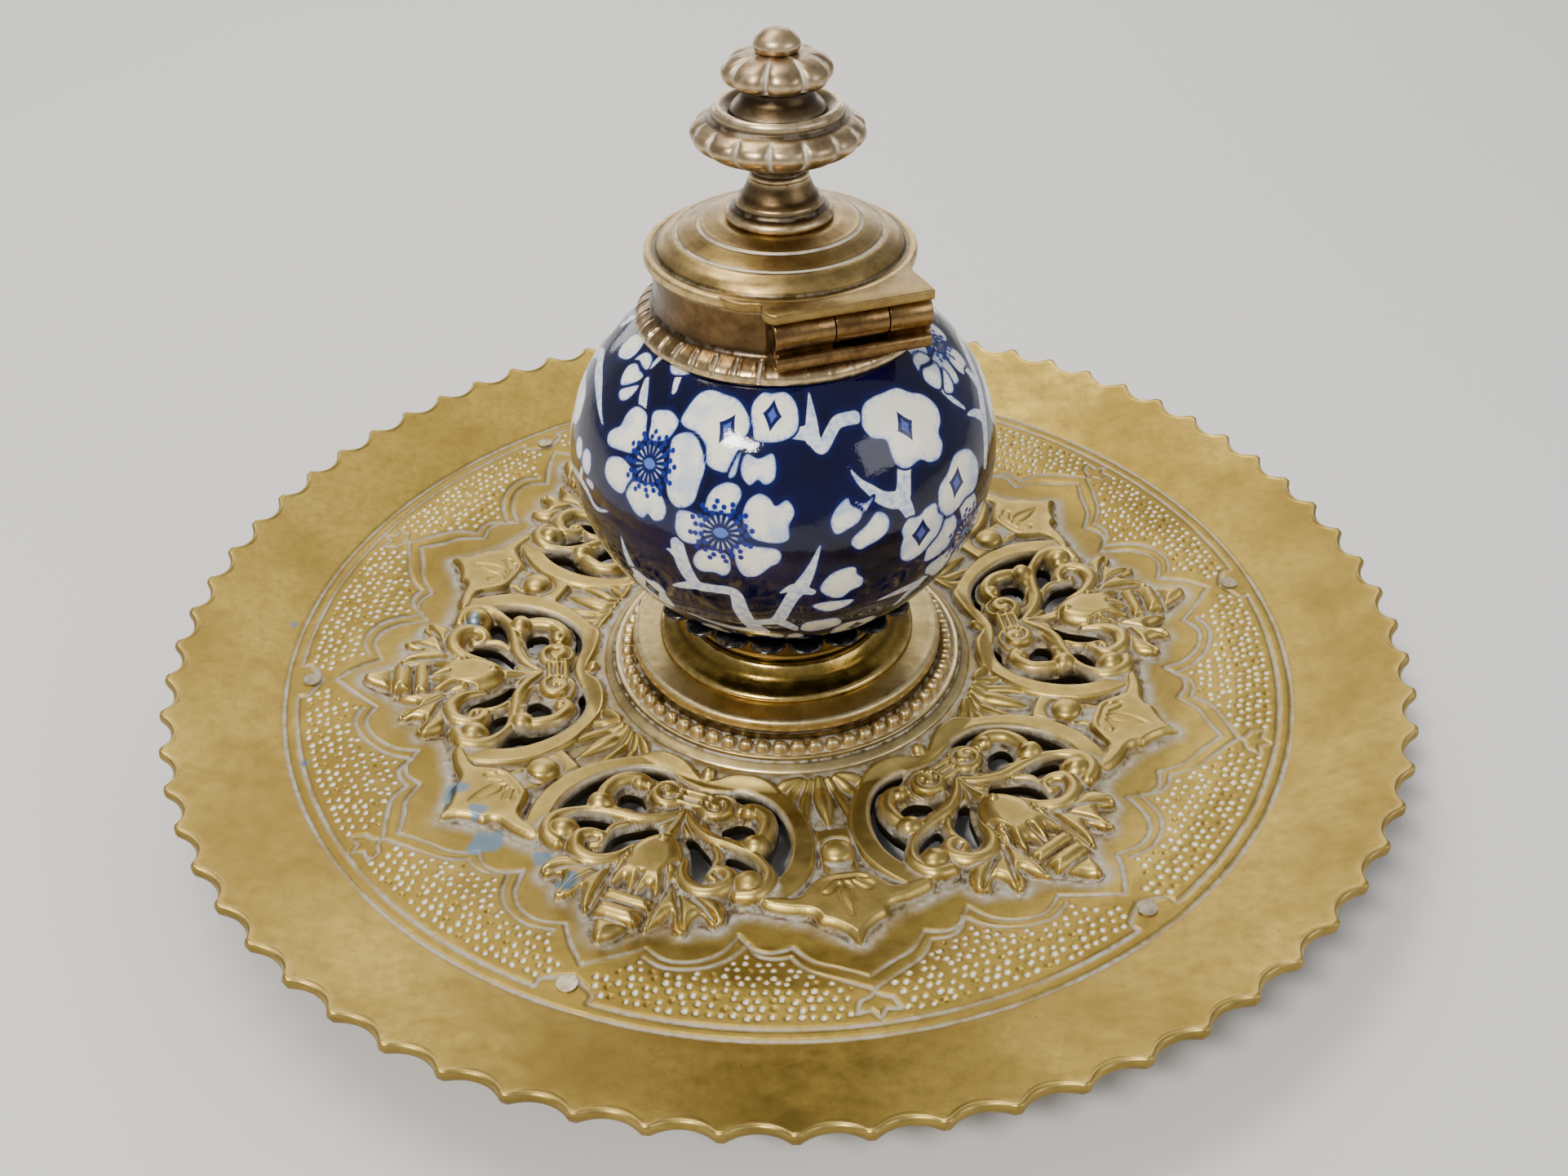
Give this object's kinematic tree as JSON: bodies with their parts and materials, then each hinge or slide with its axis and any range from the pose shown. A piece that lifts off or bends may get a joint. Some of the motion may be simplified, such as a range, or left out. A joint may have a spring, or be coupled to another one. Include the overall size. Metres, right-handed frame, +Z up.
{
  "type": "desk inkstand",
  "caption": "Desk inkstand: a scalloped, pierced brass dish on bun feet carries a glazed pot with a hinged, finialled cover over a lift-out ink liner.",
  "frame": {"origin": "on the table, under the middle of the dish", "axes": "+Z up along the axis of the dish and pot; -Y towards the viewer in the reference view; the hinge line lies 18 degrees from +X on the -Y side"},
  "size_m": [0.24, 0.24, 0.1327],
  "materials": {
    "dish_brass": "aged cast brass, mottled, pale polish residue in the recesses",
    "foot_brass": "aged turned brass",
    "rivet_brass": "worn peened ends",
    "plinth_brass": "polished turned brass, darkened in the grooves",
    "black_lacquer": "black lacquer, satin gloss",
    "pot_glaze": "glossy cobalt glaze with white blossom",
    "plaster": "matte plaster",
    "collar_bronze": "brown tarnished brass",
    "pin_bronze": "brown tarnished brass",
    "lid_bronze": "brown tarnished turned brass, bright in the incised rings",
    "finial_bronze": "brown tarnished brass with pale residue in the flutes",
    "hardware_brass": "plain brass hardware",
    "steel": "dull steel rod",
    "liner_glass": "clear pressed glass",
    "leather": "brown leather washer"
  },
  "bodies": {
    "base": {"dish": "dish_brass", "bun_feet": "foot_brass", "foot_rivets": "rivet_brass", "beaded_plinth": "plinth_brass", "foot_ring": "plinth_brass", "pot_socket": "plinth_brass", "scalloped_calyx": "black_lacquer", "ink_pot": "pot_glaze", "pot_bedding": "plaster", "collar_mount": "collar_bronze", "hinge_pin": "pin_bronze", "ink_liner": "liner_glass", "tie_bolt": "steel", "pot_washer": "leather", "clamp_washer": "hardware_brass", "base_washer": "hardware_brass", "base_nut": "hardware_brass"},
    "cover": {"lid": "lid_bronze", "finial_base": "finial_bronze", "finial_bulb": "finial_bronze", "finial_cap": "finial_bronze", "finial_button": "finial_bronze", "finial_stud": "steel", "lid_washer": "hardware_brass", "lid_nut": "hardware_brass"}
  },
  "joints": [
    {"name": "lid_hinge", "type": "hinge", "parent": "base", "child": "cover", "pos_m": [0.00714, -0.02197, 0.09255], "axis": [0.9511, 0.309, 0], "range_deg": [0, 95]}
  ]
}
